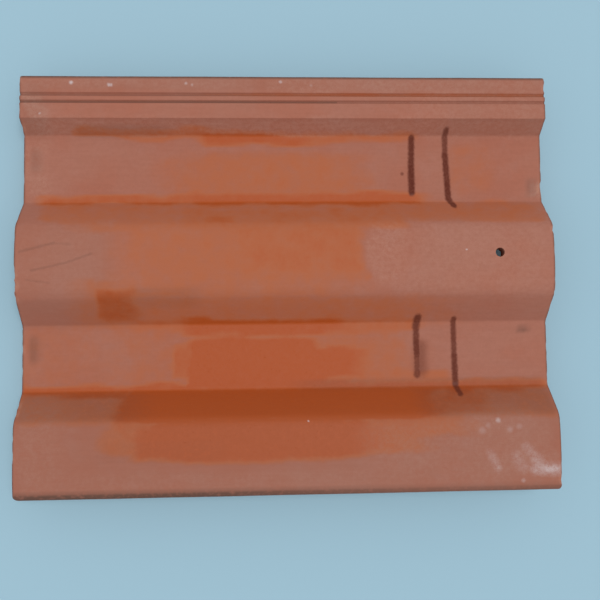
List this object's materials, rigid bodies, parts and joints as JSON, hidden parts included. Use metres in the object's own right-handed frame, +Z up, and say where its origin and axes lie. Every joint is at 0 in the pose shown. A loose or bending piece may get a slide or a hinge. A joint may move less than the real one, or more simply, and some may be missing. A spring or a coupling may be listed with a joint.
{
  "type": "interlocking roof tile",
  "caption": "Fired clay interlocking roof tile with rolls and flat pans, side locks, a nail hole, hanging nibs and foot ribs.",
  "frame": {"origin": "centre of the bounding box at the floor that the tile lies on", "axes": "+X along the tile from its tail (eaves end) to its head (ridge end, with the nail hole and nibs), +Y across it towards the underlock edge, +Z up out of the weathered face"},
  "size_m": [0.4206, 0.33, 0.0533],
  "materials": {
    "clay": "matte fired clay, weathered and partly damp"
  },
  "bodies": {
    "root": {"roof_tile": "clay"}
  },
  "joints": []
}
